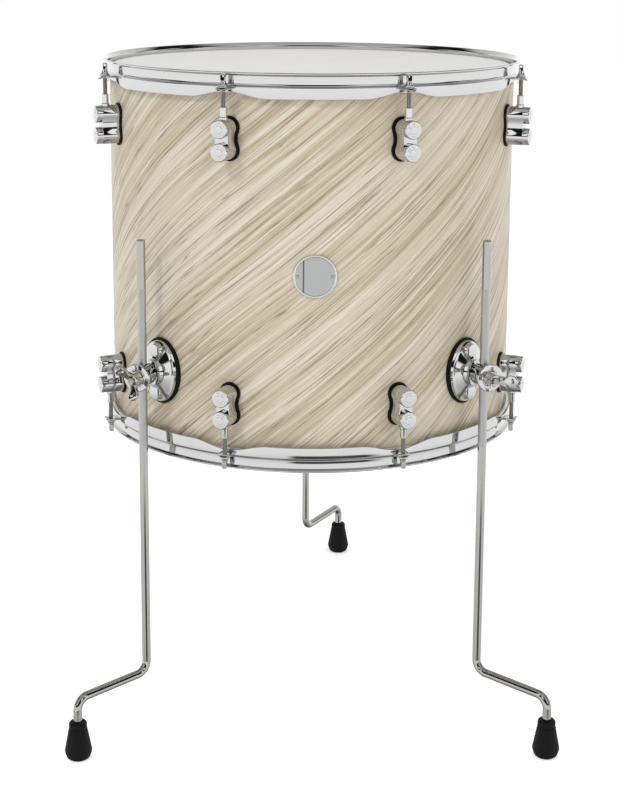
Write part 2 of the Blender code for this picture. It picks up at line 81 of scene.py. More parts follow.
# Shell and heads
SHELL_WALL = 0.0060
EDGE_DROP = 0.0026
WRAP_THICKNESS = 0.0007
WRAP_SEAM = 200
VENT_AZIMUTH = 135
VENT_R = 0.0060
VENT_BORE_R = 0.0038
VENT_FLANGE_R = 0.0105
VENT_FLANGE = 0.0021
FILM = 0.0006
FILM_RINGS = (0.0, 0.08, 0.16, 0.21)
FOLD_R = 0.2288
COLLAR_DROP = 0.0083
FLESH_TOP = 0.0069
FLESH_HEIGHT = 0.0056
FLESH_WIDTH = 0.0050

# Hoops, drops measured from the lip's crest
LIP_RISE = HIGH_LIP - HIGH_EDGE
HOOP_WALL_R = 0.2338
HOOP_SKIRT_R = 0.2363
HOOP_LIP_R = 0.2376
HOOP_SHEET = 0.0016
LEDGE_DROP = 0.0142
SKIRT_DROP = 0.0268
SCALLOP_RISE = 0.0072
SCALLOP_ANGLE = 10.5
EAR_DROP = 0.0152
EAR_SHEET = 0.0022
EAR_HALF_WIDTH = 0.0075
EAR_FOLD = 0.55

# Tension rods and lugs
ROD_CIRCLE_R = 0.2440
ROD_R = 0.00245
THREAD_PITCH = 0.0008
ROD_LENGTH = 0.0468
ROD_HEAD_HALF = 0.0025
ROD_HEAD_TOP = 0.0136
ROD_COLLAR_R = 0.0046
ROD_COLLAR_TOP = 0.0042
WASHER = 0.0011
WASHER_R = 0.0055
TURRET_DROP = 0.0567
TURRET_SPACING = 0.0233
LUG_LOBE_R = 0.0096
LUG_WAIST = 0.0074
LUG_BASE = 0.2309
LUG_BODY_END = 0.2495
LUG_PAD_MARGIN = 0.0021  # how far the rubber shows round the lug
TURRET_R = 0.0094
TURRET_END = 0.2562
SLEEVE_R = 0.0037
SLEEVE_TOP_DROP = 0.0350
SLEEVE_LENGTH = TURRET_DROP - LUG_LOBE_R - SLEEVE_TOP_DROP

# Legs, the knurl between two heights on the straight
KNURL_LOW, KNURL_HIGH = 0.324, 0.497
LEG_CIRCLE_R = 0.2570
LEG_R = 0.00475
LEG_RUN_HEIGHT = 0.0665
LEG_RUN = 0.0960
LEG_BEND_R = 0.0130
FOOT_TOP_R = 0.0095
FOOT_BASE_R = 0.0145
FOOT_SOLE_R = 0.0098

# Clamps
DISH_BACK = 0.2322
DISH_R = 0.0340
DISH_WIDTH = 0.76
GASKET_R = 0.0362
GASKET_WIDTH = DISH_WIDTH * 1.012
BOSS_R = 0.0135
BOSS_END = 0.2450
SEAT_R = 0.0055
SEAT_END = 0.2481
SCREW_BOSS_R = 0.0080
SCREW_BOSS_HEIGHT = 0.0225
EYE_R = 0.0086
EYE_HALF = 0.0045
STUD_R = 0.0035
STUD_END = 0.0286
CUP_R = 0.0132
CUP_BACK = -0.0068
CUP_CAVITY_R = 0.0102
CUP_CAVITY_END = 0.0096
CUP_FLANGE_R = 0.0150
CUP_FLANGE_START = 0.0125
CUP_END = 0.0152
NUT_START = 0.0155
NUT_HUB_R = 0.0064
NUT_HUB_END = 0.0262
WING_SWEEP = 50
WING_LENGTH = 0.0285
WING_THICKNESS = 0.0040
WING_ROOT = 0.0052
WING_WAIST = 0.0042
WING_TIP_R = 0.0064
WING_HOLE_R = 0.0038
WING_HOLE_LENGTH = 0.62  # along the wing, as a share of its width

# Badge
BADGE_R = 0.0225
BADGE_FACE = 0.0014
BADGE_RIM = 0.0020
NAIL_SPREAD = 0.0178

# Finishes: the streaks' slant in degrees, and colours
STREAK_CLIMB = 40
WRAP_BODY = (0.540, 0.468, 0.340)
WRAP_PALE = (0.600, 0.542, 0.425)
WRAP_LIGHT = (0.710, 0.665, 0.560)
WRAP_DEEP = (0.475, 0.398, 0.275)
WRAP_DARK = (0.345, 0.276, 0.180)
WRAP_LINE = (0.200, 0.155, 0.098)
MAPLE_DARK = (0.46, 0.29, 0.15)
MAPLE = (0.58, 0.40, 0.23)
MAPLE_PALE = (0.66, 0.48, 0.29)
LEG_POLISHED = (0.43, 0.425, 0.41)
LEG_KNURLED = (0.54, 0.54, 0.535)
BADGE_SILVER = (0.50, 0.515, 0.51)
BADGE_BAND = (0.16, 0.16, 0.17)
BADGE_EDGE = (0.80, 0.80, 0.79)

# Studio. A light box's sides are shares of the half turn from front to back, and its ends are sines of height
OLIVE = (0.13, 0.115, 0.085)
LIGHT_BOXES = ((0.20, 0.30, 0.25, 0.75), (0.37, 0.44, 0.08, 0.80), (0.60, 0.67, 0.08, 0.60))
LIGHT_TARGET = Vector((0, 0, 0.4))


# Placing


def at_azimuth(azimuth, z=0.0, flip=False):
    """The frame on the drum's axis whose x points out at this azimuth. flip turns it over about x."""
    turn = Euler((math.pi if flip else 0.0, 0.0, math.radians(azimuth - 90))).to_matrix().to_4x4()
    return Matrix.Translation((AXIS_X, AXIS_Y, z)) @ turn


def along_x(x=0.0, y=0.0, z=0.0):
    """Takes local +Z to +X, for a turned shape whose axis is the radius."""
    return Matrix.Translation((x, y, z)) @ Matrix.Rotation(math.radians(90), 4, "Y")


def piece(name, mesh, material, body, nodes=(), matrix=None):
    """Adds a mesh as a piece that rides on a body and stands for the CAD nodes named."""
    obj = bpy.data.objects.new(name, mesh)
    if not mesh.materials:
        mesh.materials.append(material)
    bpy.context.scene.collection.objects.link(obj)
    obj.matrix_world = matrix or Matrix()
    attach(obj, body)
    if nodes:
        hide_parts(*nodes)
    return obj


# Mesh tools


def finished(mesh, angle=SHARP):
    """Welds a mesh, faces it outwards, and shades it smooth but for edges over an angle."""
    work = bmesh.new()
    work.from_mesh(mesh)
    bmesh.ops.remove_doubles(work, verts=work.verts, dist=WELD)
    bmesh.ops.recalc_face_normals(work, faces=work.faces)
    work.to_mesh(mesh)
    work.free()
    mesh.shade_smooth()
    mesh.set_sharp_from_angle(angle=math.radians(angle))
    return mesh


def grid_mesh(points, close_rows=False, close_columns=True, angle=SHARP, uv=None):
    """A mesh over an array of points, rows by columns by 3. uv holds two numbers for each of those points."""
    rows, columns = points.shape[:2]
    row_count = rows if close_rows else rows - 1
    column_count = columns if close_columns else columns - 1
    i, j = np.meshgrid(np.arange(row_count), np.arange(column_count), indexing="ij")
    i2, j2 = (i + 1) % rows, (j + 1) % columns
    faces = np.stack([i * columns + j, i * columns + j2, i2 * columns + j2, i2 * columns + j], axis=-1)
    mesh = bpy.data.meshes.new("grid")
    mesh.from_pydata(points.reshape(-1, 3).tolist(), [], faces.reshape(-1, 4).tolist())
    if uv is not None:
        layer = mesh.uv_layers.new(name="UVMap")
        corners = np.stack([uv[i, j], uv[i, j + 1], uv[i + 1, j + 1], uv[i + 1, j]], axis=2)
        layer.data.foreach_set("uv", corners.astype(np.float32).reshape(-1))
    return finished(mesh, angle)


def swept_round(profile, turn):
    """Points of a profile of (radius, height) at each angle about Z, rows by columns by 3."""
    r, z = np.array(profile).T
    level = np.outer(z, np.ones(len(turn)))
    return np.stack([np.outer(r, np.cos(turn)), np.outer(r, np.sin(turn)), level], axis=-1)


def turned(profile, steps=64, matrix=None, closed=False, angle=SHARP):
    """A mesh turned about Z from (radius, height) points."""
    turn = np.linspace(0, 2 * np.pi, steps, endpoint=False)
    mesh = grid_mesh(swept_round(profile, turn), close_rows=closed, angle=angle)
    if matrix:
        mesh.transform(matrix)
    return mesh


def rounded(points, radius, closed=False, steps=4):
    """The same outline with round corners. A point may carry its own radius as a third value."""
    count = len(points)
    result = []
    for i, point in enumerate(points):
        here = Vector(point[:2])
        reach = point[2] if len(point) > 2 else radius
        if reach <= 0 or (not closed and i in (0, count - 1)):
            result.append(tuple(here))
            continue
        before = Vector(points[i - 1][:2]) - here
        after = Vector(points[(i + 1) % count][:2]) - here
        corner = math.pi - before.angle(after)
        trim = reach * math.tan(corner / 2)
        start = here + before.normalized() * min(trim, before.length * 0.49)
        end = here + after.normalized() * min(trim, after.length * 0.49)
        for k in range(steps + 1):
            t = k / steps
            result.append(tuple(start * (1 - t) ** 2 + here * 2 * t * (1 - t) + end * t**2))
    return result


def arc(centre, radius, start, end, count):
    """Points along an arc, between two angles in degrees."""
    angles = [math.radians(start + (end - start) * i / (count - 1)) for i in range(count)]
    return [(centre[0] + radius * math.cos(a), centre[1] + radius * math.sin(a)) for a in angles]


def inset(outline, distance):
    """A closed outline moved inwards by a distance, along each point's own normal. It runs anticlockwise."""
    points = np.array(outline)
    ahead = np.roll(points, -1, axis=0) - np.roll(points, 1, axis=0)
    ahead /= np.linalg.norm(ahead, axis=1)[:, None]
    return points + distance * np.stack([-ahead[:, 1], ahead[:, 0]], axis=1)


def lofted(outline, levels, matrix=None, angle=SHARP):
    """A solid whose skin passes through insets of one closed outline. Each level is (inset, height)."""
    rings = []
    for distance, height in levels:
        ring = inset(outline, distance)
        rings.append(np.column_stack([ring, np.full(len(ring), height)]))
    mesh = grid_mesh(np.stack(rings), angle=angle)
    work = bmesh.new()
    work.from_mesh(mesh)
    bmesh.ops.holes_fill(work, edges=work.edges, sides=0)
    bmesh.ops.recalc_face_normals(work, faces=work.faces)
    work.to_mesh(mesh)
    work.free()
    mesh.set_sharp_from_angle(angle=math.radians(angle))
    if matrix:
        mesh.transform(matrix)
    return mesh


def joined(*meshes):
    work = bmesh.new()
    for mesh in meshes:
        work.from_mesh(mesh)
    result = bpy.data.meshes.new("joined")
    work.to_mesh(result)
    work.free()
    return result


def moved(mesh, matrix):
    copy = mesh.copy()
    copy.transform(matrix)
    return copy


def cut(mesh, cutter):
    """The mesh with the cutter taken out of it."""
    base = bpy.data.objects.new("base", mesh)
    other = bpy.data.objects.new("cutter", cutter)
    for obj in (base, other):
        bpy.context.scene.collection.objects.link(obj)
    modifier = base.modifiers.new("Cut", "BOOLEAN")
    modifier.operation = "DIFFERENCE"
    modifier.object = other
    graph = bpy.context.evaluated_depsgraph_get()
    result = bpy.data.meshes.new_from_object(base.evaluated_get(graph))
    bpy.data.objects.remove(base)
    bpy.data.objects.remove(other)
    return result


# Materials


def rgba(value):
    """A shader colour, from a grey value or from red, green and blue."""
    return (*value, 1.0) if isinstance(value, tuple) else (value, value, value, 1.0)


class Nodes:
    """Short names for adding and linking shader nodes in one tree."""

    def __init__(self, tree):
        self.tree = tree

    def fill(self, node, inputs):
        """Links each input to a socket, or sets its value."""
        for name, value in inputs.items():
            if isinstance(value, bpy.types.NodeSocket):
                self.tree.links.new(value, node.inputs[name])
            else:
                node.inputs[name].default_value = value
        return node

    def add(self, kind, inputs=None, **settings):
        node = self.tree.nodes.new("ShaderNode" + kind)
        for name, value in settings.items():
            setattr(node, name, value)
        return self.fill(node, inputs or {})

    def math(self, operation, a, b=0.0):
        return self.add("Math", {0: a, 1: b}, operation=operation).outputs[0]

    def ramp(self, factor, stops):
        """Each stop is (position, grey value or colour)."""
        node = self.add("ValToRGB", {"Fac": factor})
        elements = node.color_ramp.elements
        while len(elements) < len(stops):
            elements.new(0.5)
        for element, (position, value) in zip(elements, stops):
            element.position = position
            element.color = rgba(value)
        return node.outputs["Color"]

    def mix(self, factor, a, b):
        """From a, at factor 0, to b. Each is a socket, a grey value or a colour."""
        a, b = (value if isinstance(value, bpy.types.NodeSocket) else rgba(value) for value in (a, b))
        return self.add("Mix", {0: factor, 6: a, 7: b}, data_type="RGBA").outputs[2]

    def spread(self, value, low, high, start=0.0, end=1.0):
        """Takes start..end to low..high."""
        values = {"Value": value, "From Min": start, "From Max": end, "To Min": low, "To Max": high}
        return self.add("MapRange", values).outputs[0]

    def place(self, scale=None):
        """The object's own coordinates, stretched by a scale for each axis."""
        here = self.add("TexCoord").outputs["Object"]
        return self.add("Mapping", {"Vector": here, "Scale": scale}).outputs[0] if scale else here

    def noise(self, vector, scale, detail=3.0, roughness=0.5):
        values = {"Vector": vector, "Scale": scale, "Detail": detail, "Roughness": roughness}
        return self.add("TexNoise", values).outputs["Fac"]

    def bump(self, height, strength, distance):
        values = {"Height": height, "Strength": strength, "Distance": distance}
        return self.add("Bump", values).outputs["Normal"]


def new_material(name, colour, roughness, metallic=0.0):
    material = bpy.data.materials.new(name)
    material.use_nodes = True
    nodes = Nodes(material.node_tree)
    shader = material.node_tree.nodes["Principled BSDF"]
    nodes.fill(shader, {"Base Color": rgba(colour), "Roughness": roughness, "Metallic": metallic})
    return material, nodes, shader


def metal_material(name, colour, low, high, bump=0.06):
    """Metal with a faint uneven polish: its roughness wanders between two values."""
    material, nodes, shader = new_material(name, colour, low, 1.0)
    place = nodes.place()
    broad = nodes.noise(place, 60.0, 4.0, 0.6)
    fine = nodes.noise(place, 900.0, 2.0)
    mixed = nodes.math("ADD", nodes.math("MULTIPLY", broad, 0.7), nodes.math("MULTIPLY", fine, 0.3))
    roughness = nodes.spread(mixed, low, high, 0.35, 0.65)
    nodes.fill(shader, {"Roughness": roughness, "Normal": nodes.bump(fine, bump, 0.00002)})
    return material


def wrap_material():
    """Ivory streaks that climb to the right, in bundles that part and close, on a glossy sheet."""
    material, nodes, shader = new_material("ivory_streak_wrap", WRAP_BODY, 0.45)
    sheet = nodes.add("UVMap", uv_map="UVMap").outputs[0]
    u, v, _ = nodes.add("SeparateXYZ", {"Vector": sheet}).outputs
    rise, run = math.sin(math.radians(STREAK_CLIMB)), math.cos(math.radians(STREAK_CLIMB))
    along = nodes.math("ADD", nodes.math("MULTIPLY", u, run), nodes.math("MULTIPLY", v, rise))
    across = nodes.math("SUBTRACT", nodes.math("MULTIPLY", v, run), nodes.math("MULTIPLY", u, rise))
    drift = nodes.math("SUBTRACT", nodes.noise(sheet, 3.0, 1.0), 0.5)
    wander = nodes.math("SUBTRACT", nodes.noise(sheet, 14.0, 2.0), 0.5)
    across = nodes.math("ADD", across, nodes.math("MULTIPLY", drift, 0.014))
    across = nodes.math("ADD", across, nodes.math("MULTIPLY", wander, 0.0020))

    def streaks(per_metre, length, seed, detail=2.0, roughness=0.6):
        """Noise drawn out along the streaks: so many per metre across, each about so long."""
        x = nodes.math("MULTIPLY", across, per_metre)
        y = nodes.math("MULTIPLY", along, 1 / length)
        place = nodes.add("CombineXYZ", {"X": x, "Y": y, "Z": seed}).outputs[0]
        return nodes.noise(place, 1.0, detail, roughness)

    def lines(noise, level, width, strength):
        """Thin lines where the noise crosses a level."""
        away = nodes.math("ABSOLUTE", nodes.math("SUBTRACT", noise, level))
        return nodes.ramp(nodes.math("MULTIPLY", away, 10.0), [(0.0, strength), (width * 10.0, 0.0)])

    broad = streaks(24.0, 0.60, 1.0, roughness=0.5)
    middle = streaks(135.0, 0.44, 5.0, 3.0)
    fine = streaks(380.0, 0.34, 9.0, 3.0)
    hairs = streaks(215.0, 0.40, 14.0)
    threads = streaks(130.0, 0.50, 31.0, roughness=0.5)
    faint = streaks(60.0, 0.40, 23.0, 1.0, 0.5)
    gathered = nodes.ramp(faint, [(0.38, 0.25), (0.56, 1.0)])
    dark_hairs = nodes.math("MULTIPLY", lines(hairs, 0.46, 0.022, 0.90), gathered)
    layers = (
        (nodes.ramp(middle, [(0.50, 0.0), (0.66, 0.65)]), WRAP_LIGHT),
        (nodes.ramp(middle, [(0.32, 0.60), (0.47, 0.0)]), WRAP_DEEP),
        (nodes.ramp(fine, [(0.52, 0.0), (0.66, 0.75)]), WRAP_LIGHT),
        (nodes.ramp(fine, [(0.31, 0.85), (0.45, 0.0)]), WRAP_DARK),
        (dark_hairs, WRAP_LINE),
        (lines(threads, 0.50, 0.014, 0.70), WRAP_LINE),
        (lines(hairs, 0.57, 0.020, 0.80), WRAP_LIGHT),
        (lines(threads, 0.59, 0.016, 0.70), WRAP_LIGHT),
    )
    colour = nodes.ramp(broad, [(0.26, WRAP_DEEP), (0.48, WRAP_BODY), (0.66, WRAP_PALE)])
    for strength, shade in layers:
        colour = nodes.mix(strength, colour, shade)
    relief = nodes.math("ADD", nodes.math("MULTIPLY", middle, 0.6), nodes.math("MULTIPLY", fine, 0.4))
    nodes.fill(shader, {"Base Color": colour, "Roughness": nodes.spread(fine, 0.38, 0.52)})
    nodes.fill(shader, {"Normal": nodes.bump(relief, 0.15, 0.0002), "Specular IOR Level": 0.30})
    nodes.fill(shader, {"Coat Weight": 0.06, "Coat Roughness": 0.25})
    return material


def coated_material():
    """The sprayed white coating of the batter head: a fine, even grain."""
    material, nodes, shader = new_material("coated_head", (0.80, 0.79, 0.77), 0.62)
    place = nodes.place()
    grain = nodes.noise(place, 1400.0, 3.0, 0.7)
    cloud = nodes.ramp(nodes.noise(place, 9.0, 3.0), [(0.3, 0.0), (0.7, 1.0)])
    colour = nodes.mix(cloud, (0.785, 0.775, 0.750), (0.810, 0.803, 0.782))
    nodes.fill(shader, {"Base Color": colour, "Roughness": nodes.spread(grain, 0.52, 0.72)})
    nodes.fill(shader, {"Normal": nodes.bump(grain, 0.5, 0.00006)})
    return material


def clear_film_material():
    """Thin clear plastic with a slight haze."""
    material, nodes, shader = new_material("clear_head", (0.80, 0.82, 0.84), 0.08)
    haze = nodes.noise(nodes.place(), 30.0, 3.0)
    nodes.fill(shader, {"Roughness": nodes.spread(haze, 0.05, 0.16), "Alpha": 0.30})
    return material


def wood_material():
    """Maple plies: fine level lines, drawn out round the shell."""
    material, nodes, shader = new_material("maple_shell", MAPLE, 0.5)
    grain = nodes.noise(nodes.place((14.0, 14.0, 220.0)), 1.0, 4.0, 0.6)
    colour = nodes.ramp(grain, [(0.3, MAPLE_DARK), (0.5, MAPLE), (0.7, MAPLE_PALE)])
    nodes.fill(shader, {"Base Color": colour, "Roughness": nodes.spread(grain, 0.42, 0.6)})
    nodes.fill(shader, {"Normal": nodes.bump(grain, 0.3, 0.0001)})
    return material


def leg_material():
    """Plated rod, polished above and below a satin knurl. v of its UV map is the height on the straight."""
    material, nodes, shader = new_material("leg_rod", LEG_POLISHED, 0.16, 1.0)
    u, v, _ = nodes.add("SeparateXYZ", {"Vector": nodes.add("UVMap", uv_map="UVMap").outputs[0]}).outputs
    above = nodes.math("GREATER_THAN", v, KNURL_LOW)
    below = nodes.math("LESS_THAN", v, KNURL_HIGH)
    knurled = nodes.math("MULTIPLY", above, below)
    around, upward = nodes.math("MULTIPLY", u, 220.0), nodes.math("MULTIPLY", v, 7000.0)
    one = nodes.math("SINE", nodes.math("ADD", around, upward))
    two = nodes.math("SINE", nodes.math("SUBTRACT", around, upward))
    diamonds = nodes.math("MULTIPLY", nodes.math("MULTIPLY", one, two), knurled)
    uneven = nodes.noise(nodes.place((1, 1, 0.08)), 900.0, 3.0)
    roughness = nodes.math("ADD", nodes.spread(uneven, 0.05, 0.14), nodes.math("MULTIPLY", knurled, 0.32))
    height = nodes.math("ADD", nodes.math("MULTIPLY", diamonds, 0.5), nodes.math("MULTIPLY", uneven, 0.1))
    nodes.fill(shader, {"Base Color": nodes.mix(knurled, LEG_POLISHED, LEG_KNURLED), "Roughness": roughness})
    nodes.fill(shader, {"Normal": nodes.bump(height, 0.35, 0.00012)})
    return material


def rubber_material(name, colour, roughness):
    """Black rubber with a fine grain and a little dust."""
    material, nodes, shader = new_material(name, colour, roughness)
    place = nodes.place()
    grain = nodes.noise(place, 2200.0, 3.0, 0.6)
    dust = nodes.noise(place, 140.0, 4.0, 0.6)
    pale = tuple(value * 1.6 + 0.001 for value in colour)
    shade = nodes.mix(nodes.ramp(dust, [(0.45, 0.0), (0.75, 0.6)]), colour, pale)
    worn = nodes.spread(dust, roughness - 0.12, roughness + 0.12)
    nodes.fill(shader, {"Base Color": shade, "Roughness": worn, "Specular IOR Level": 0.18})
    nodes.fill(shader, {"Normal": nodes.bump(grain, 0.4, 0.00005)})
    return material


def badge_material():
    """Plate brushed up and down, with a dark upright band left of its middle and a bright rim."""
    material, nodes, shader = new_material("badge_plate", BADGE_SILVER, 0.3, 1.0)
    brushed = nodes.noise(nodes.place((2500.0, 2500.0, 60.0)), 1.0, 3.0)
    _, across, up = nodes.add("SeparateXYZ", {"Vector": nodes.place()}).outputs
    side = nodes.math("ABSOLUTE", nodes.math("ADD", across, 0.0120))
    band = nodes.ramp(nodes.math("MULTIPLY", side, 100.0), [(0.0, 1.0), (0.07, 1.0), (0.10, 0.0)])
    squares = nodes.math("ADD", nodes.math("MULTIPLY", across, across), nodes.math("MULTIPLY", up, up))
    rim = nodes.math("GREATER_THAN", nodes.math("SQRT", squares), BADGE_R * 0.92)
    colour = nodes.mix(rim, nodes.mix(band, BADGE_SILVER, BADGE_BAND), BADGE_EDGE)
    nodes.fill(shader, {"Base Color": colour, "Roughness": nodes.spread(brushed, 0.22, 0.42)})
    nodes.fill(shader, {"Normal": nodes.bump(brushed, 0.3, 0.00003)})
    return material


CHROME = metal_material("polished_chrome", (0.60, 0.605, 0.60), 0.03, 0.075)
STEEL = metal_material("zinc_steel", (0.62, 0.61, 0.59), 0.16, 0.30, 0.2)
ALUMINIUM = metal_material("satin_aluminium", (0.72, 0.72, 0.73), 0.25, 0.42, 0.2)
DARK_STEEL = metal_material("threaded_steel", (0.42, 0.40, 0.37), 0.22, 0.38, 0.2)
WRAP = wrap_material()
COATED = coated_material()
CLEAR = clear_film_material()
WOOD = wood_material()
LEG_ROD = leg_material()
RUBBER = rubber_material("foot_rubber", (0.0045, 0.0047, 0.0045), 0.62)
GASKET = rubber_material("gasket_rubber", (0.004, 0.004, 0.004), 0.60)
BADGE_PLATE = badge_material()


# Shell, wrap and heads


def vent_cutter():
    """A rod along the radius, from outside the wrap to inside the shell."""
    outside, inside = 0.26, 0.18
    place = at_azimuth(VENT_AZIMUTH, DRUM_MIDDLE) @ along_x()
    return turned([(0, outside), (VENT_R, outside), (VENT_R, inside), (0, inside)], 32, place)


def make_wrap():
    """Its UV map is the flat sheet in metres, which starts and ends at a seam at the back."""
    low, high, edge = wrap_low.z, wrap_high.z, 0.0004
    outer, inner = WRAP_R, WRAP_R - WRAP_THICKNESS
    section = [(inner, high), (outer - edge, high)]
    section += [(outer, z) for z in np.linspace(high - edge, low + edge, 5)]
    section += [(outer - edge, low), (inner, low)]
    turn = np.radians(np.linspace(0, 360, ROUND + 1) + WRAP_SEAM - 90)
    points = swept_round(section, turn) + (AXIS_X, AXIS_Y, 0.0)
    uv = np.stack(np.meshgrid(WRAP_R * turn, [z for _, z in section]), axis=-1)
    mesh = grid_mesh(points, close_columns=False, uv=uv)
    piece("wrap_sheet", cut(mesh, vent_cutter()), WRAP, "drum", ["finish_wrap"])


def make_shell():
    """A ply cylinder with a narrow bearing edge, bevelled on both sides, at each end."""
    outer, inner = SHELL_R, SHELL_R - SHELL_WALL
    crest, crest_width = outer - EDGE_DROP, 0.0008
    upper = [(inner, -EDGE_DROP), (crest - crest_width, 0.0), (crest, 0.0), (outer, -EDGE_DROP)]
    profile = [(r, HIGH_EDGE + z) for r, z in upper] + [(r, LOW_EDGE - z) for r, z in reversed(upper)]
    mesh = turned(profile, ROUND, Matrix.Translation((AXIS_X, AXIS_Y, 0)), closed=True)
    piece("shell_plies", cut(mesh, vent_cutter()), WOOD, "drum", ["shell"])


def make_vent():
    """A bush through shell and wrap, with a domed flange outside."""
    seat = WRAP_R + GAP
    back = SHELL_R - SHELL_WALL - 0.0015
    profile = [
        (VENT_BORE_R, back, 0),
        (VENT_BORE_R, seat + VENT_FLANGE, 0.0008),
        (VENT_FLANGE_R - 0.0020, seat + VENT_FLANGE, 0.0012),
        (VENT_FLANGE_R, seat + 0.0007, 0.0006),
        (VENT_FLANGE_R, seat, 0),
        (VENT_R - GAP, seat, 0),
        (VENT_R - GAP, back, 0),
    ]
    place = at_azimuth(VENT_AZIMUTH, DRUM_MIDDLE) @ along_x()
    mesh = turned(rounded(profile, 0.0004), 40, place, closed=True)
    piece("vent_bush", mesh, CHROME, "drum", ["air_vent_grommet"])


def head_matrix(batter):
    """The frame in which z is 0 on the bearing edge and +Z is out of the drum."""
    return at_azimuth(90, HIGH_EDGE) if batter else at_azimuth(90, LOW_EDGE, flip=True)


def make_head(name, batter, material):
    """Film over the bearing edge and down into the flesh hoop."""
    crest = SHELL_R - EDGE_DROP
    face = GAP + FILM
    flat = [(r, face) for r in FILM_RINGS]
    outer = [(crest + 0.0004, face, 0.0035), (FOLD_R, -0.0015, 0.002), (FOLD_R, -COLLAR_DROP, 0)]
    within = FOLD_R - 0.0008
    inner = [(within, -COLLAR_DROP, 0), (within, -0.0013, 0.002), (crest + 0.0002, GAP, 0.0035)]
    under = [(r, GAP) for r in reversed(FILM_RINGS)]
    fold = rounded([flat[-1], *outer, *inner, under[0]], 0, steps=6)
    mesh = turned(flat + fold[1:-1] + under, ROUND, head_matrix(batter), angle=40)
    piece(name + "_head_skin", mesh, material, "drum", [name + "_head_film"])
    near, far = FOLD_R + GAP, FOLD_R + GAP + FLESH_WIDTH
    top, bottom = -FLESH_TOP, -FLESH_TOP - FLESH_HEIGHT
    channel = rounded([(near, bottom), (far, bottom), (far, top), (near, top)], 0.0009, closed=True)
    mesh = turned(channel, ROUND, head_matrix(batter), closed=True)
    piece(name + "_flesh_ring", mesh, ALUMINIUM, "drum", [name + "_flesh_hoop"])


# Hoops


def scallop(azimuth):
    """How far the skirt's lower edge rises at each azimuth: fully at an ear."""
    away = np.abs(azimuth % LUG_SPACING - LUG_SPACING / 2)
    return SCALLOP_RISE * 0.5 * (1 + np.cos(np.pi * np.minimum(away / SCALLOP_ANGLE, 1)))


def hoop_ring():
    """The hoop without its ears: flared lip, wall, ledge and scalloped skirt."""
    wall, skirt, sheet = HOOP_WALL_R, HOOP_SKIRT_R, HOOP_SHEET
    section = rounded(
        [
            (wall - sheet, 0.0046, 0.0030),
            (HOOP_LIP_R - 0.0026, 0.0003, 0.0009),
            (HOOP_LIP_R - 0.0014, 0.0, 0.0006),
            (HOOP_LIP_R, 0.0006, 0.0006),
            (HOOP_LIP_R, 0.0019, 0.0005),
            (HOOP_LIP_R - 0.0010, 0.0026, 0.0004),
            (wall, 0.0034, 0.0009),
            (wall, LEDGE_DROP - 0.0014, 0.0026),
            (skirt, LEDGE_DROP + 0.0006, 0.0012),
            (skirt, SKIRT_DROP, 0.0006),
            (skirt - sheet, SKIRT_DROP, 0.0006),
            (skirt - sheet, LEDGE_DROP + 0.0020, 0.0012),
            (wall - sheet, LEDGE_DROP + 0.0004, 0.0012),
        ],
        0.001,
        closed=True,
        steps=5,
    )
    azimuth = np.arange(360.0)
    points = swept_round([(r, LIP_RISE - drop) for r, drop in section], np.radians(azimuth - 90))
    drops = np.array(section)[:, 1]
    share = np.clip((drops - LEDGE_DROP - 0.004) / (SKIRT_DROP - LEDGE_DROP - 0.004), 0, 1)
    points[:, :, 2] += np.outer(share, scallop(azimuth))
    return grid_mesh(points, close_rows=True, angle=50)


def hoop_ear():
    """A flat tab round a tension rod, at azimuth 90, folded down at its tip."""
    root = HOOP_SKIRT_R - 0.0012
    outline = [(root, -EAR_HALF_WIDTH)]
    outline += arc((ROD_CIRCLE_R, 0.0), EAR_HALF_WIDTH, -90, 90, 17)
    outline += [(root, EAR_HALF_WIDTH)]
    top = LIP_RISE - EAR_DROP
    levels = [(0.0040, top), (0.0010, top), (0.0003, top - 0.0003), (0.0, top - 0.0009), (0.0, top - 0.0018)]
    levels += [(0.0005, top - EAR_SHEET), (0.0030, top - EAR_SHEET)]
    ear = lofted(outline, levels, angle=50)
    for vertex in ear.vertices:
        vertex.co.z -= EAR_FOLD * max(0.0, vertex.co.x - ROD_CIRCLE_R - 0.0030)
    return ear


def make_hoop(name, batter):
    """A pressed triple-flange hoop with its eight ears."""
    ear = hoop_ear()
    turns = [Matrix.Rotation(math.radians(a - 90), 4, "Z") for a in LUG_AZIMUTHS]
    mesh = joined(hoop_ring(), *[moved(ear, turn) for turn in turns])
    mesh.transform(head_matrix(batter))
    piece(name + "_pressed", mesh, CHROME, "drum", [name])


# Lugs and tension rods


def lug_outline(grow=0.0, count=14):
    """A figure of eight with a smooth waist. x is the lug's height and y its width."""
    half, lobe, waist = TURRET_SPACING / 2, LUG_LOBE_R + grow, LUG_WAIST + grow
    fillet = (waist**2 + half**2 - lobe**2) / (2 * (lobe - waist))
    reach = math.degrees(math.atan2(half, waist + fillet))
    points = arc((half, 0.0), lobe, -90 - reach, 90 + reach, 2 * count)
    points += arc((0.0, waist + fillet), fillet, reach - 90, -90 - reach, count)[1:-1]
    points += arc((-half, 0.0), lobe, 90 - reach, 270 + reach, 2 * count)
    points += arc((0.0, -waist - fillet), fillet, 90 + reach, 90 - reach, count)[1:-1]
    return points


